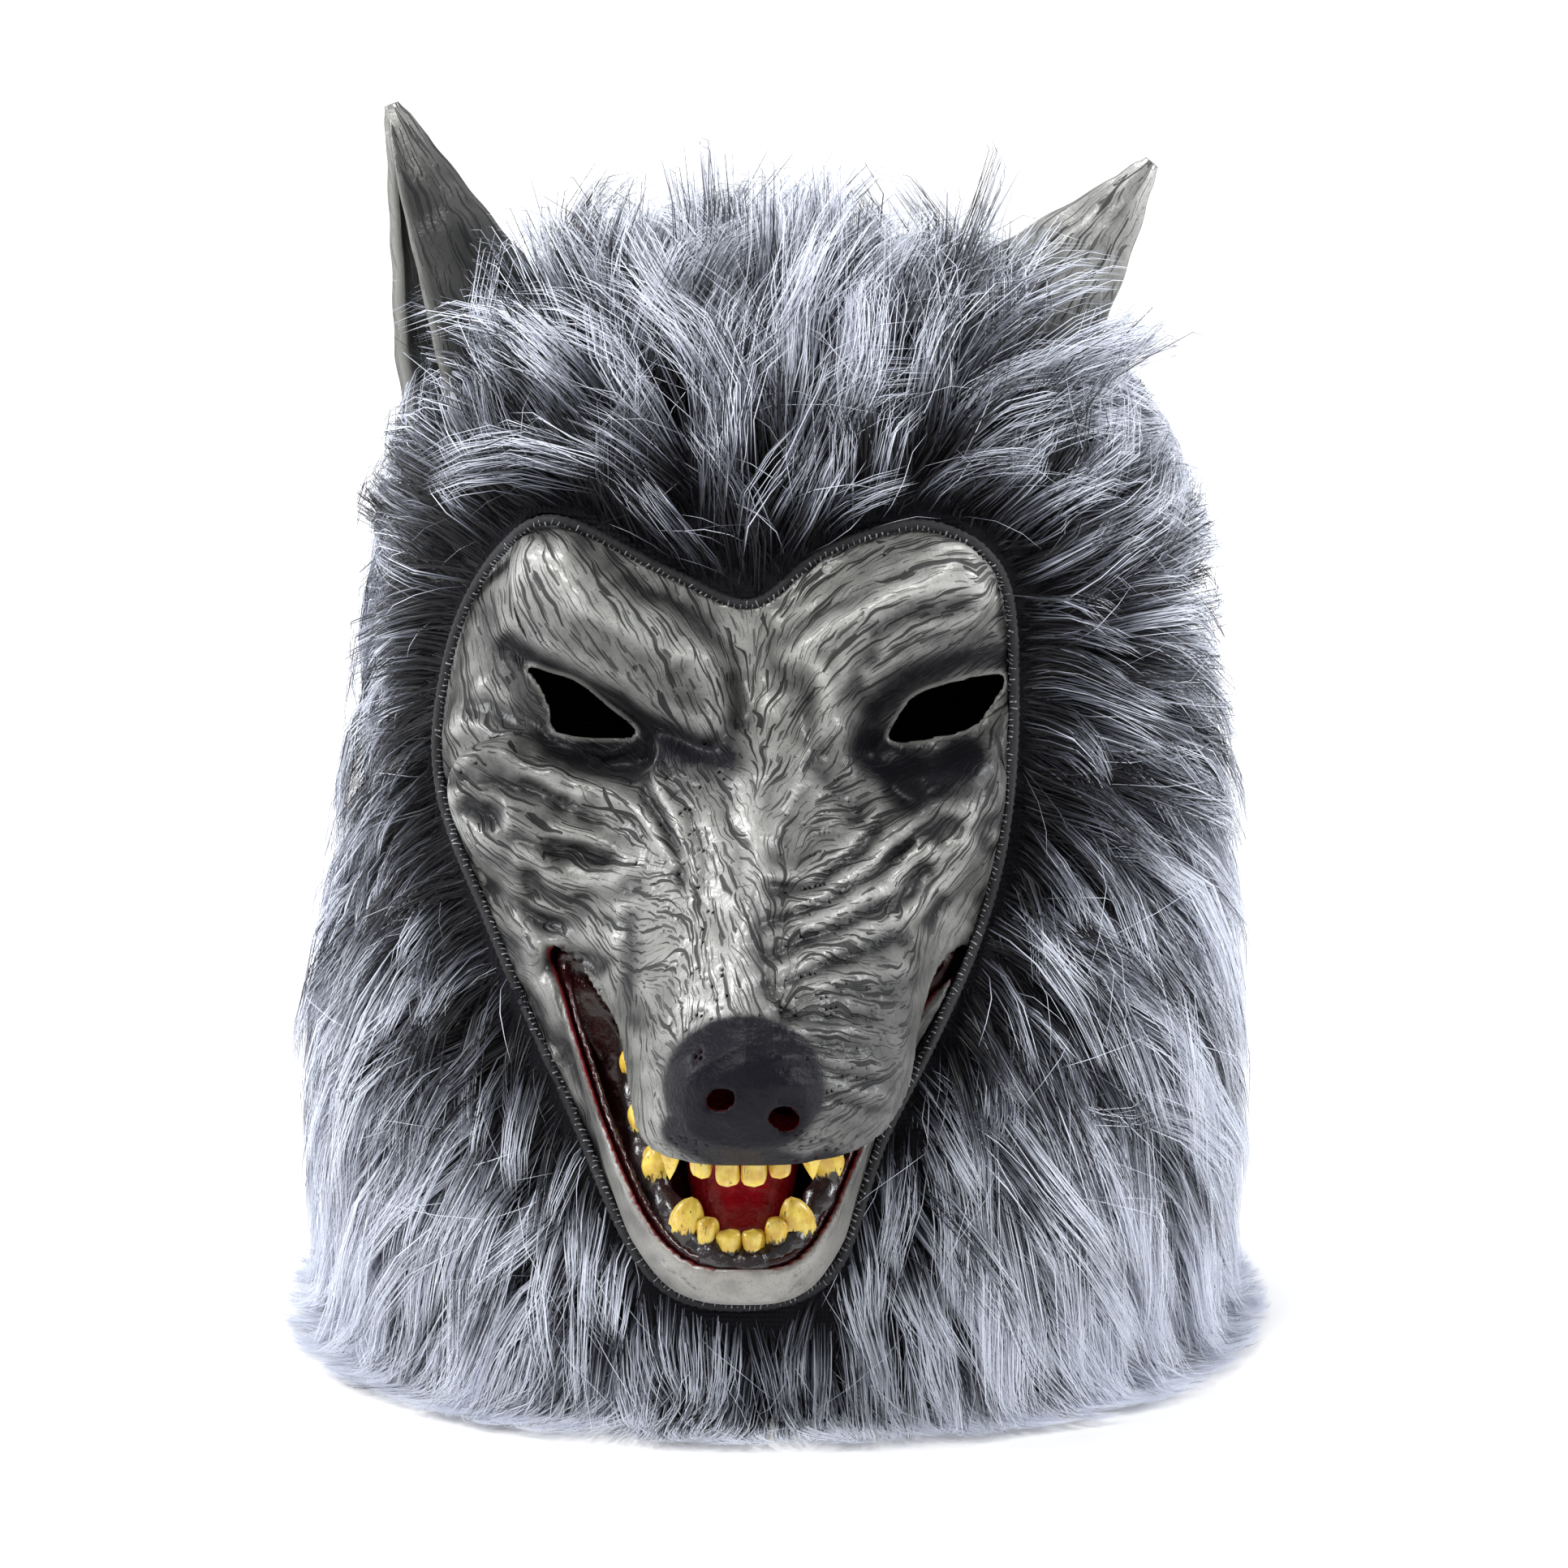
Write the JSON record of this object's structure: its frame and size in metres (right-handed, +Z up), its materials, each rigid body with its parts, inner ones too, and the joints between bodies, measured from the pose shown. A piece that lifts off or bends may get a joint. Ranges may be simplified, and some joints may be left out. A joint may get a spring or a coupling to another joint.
{
  "type": "costume mask",
  "caption": "Full-head wolf costume mask: hollow moulded face with snarling open mouth and teeth, upright ears and a deep-pile hood that stands on its hem.",
  "frame": {"origin": "under the middle of the mask, at the height of the hood's hem", "axes": "+Z up along the mask's height, +Y to the back of the head, so the face looks along -Y, and +X to the viewer's right"},
  "size_m": [0.2944, 0.3435, 0.363],
  "materials": {
    "skin": "grey moulded soft PVC with a satin sheen and black airbrush in the recesses",
    "fur": "deep faux-fur pile, near-black at the root and silvery lavender at the tip, on black cloth",
    "mouth": "glossy red paint",
    "gum": "glossy black paint",
    "tooth": "brushed yellow paint with black showing through"
  },
  "bodies": {
    "root": {"face_moulding": "skin", "left_ear": "skin", "right_ear": "skin", "hood_front_left": "fur", "hood_front_right": "fur", "hood_back_left": "fur", "hood_back_right": "fur", "mouth_lining": "mouth", "tongue": "mouth", "upper_gum": "gum", "lower_gum": "gum", "upper_incisor_inner_left": "tooth", "upper_incisor_outer_left": "tooth", "upper_canine_left": "tooth", "upper_premolar_left": "tooth", "upper_incisor_inner_right": "tooth", "upper_incisor_outer_right": "tooth", "upper_canine_right": "tooth", "upper_premolar_right": "tooth", "lower_incisor_inner_left": "tooth", "lower_incisor_outer_left": "tooth", "lower_canine_left": "tooth", "lower_premolar_left": "tooth", "lower_molar_front_left": "tooth", "lower_molar_back_left": "tooth", "lower_incisor_inner_right": "tooth", "lower_incisor_outer_right": "tooth", "lower_canine_right": "tooth", "lower_premolar_right": "tooth", "lower_molar_front_right": "tooth", "lower_molar_back_right": "tooth"}
  },
  "joints": []
}
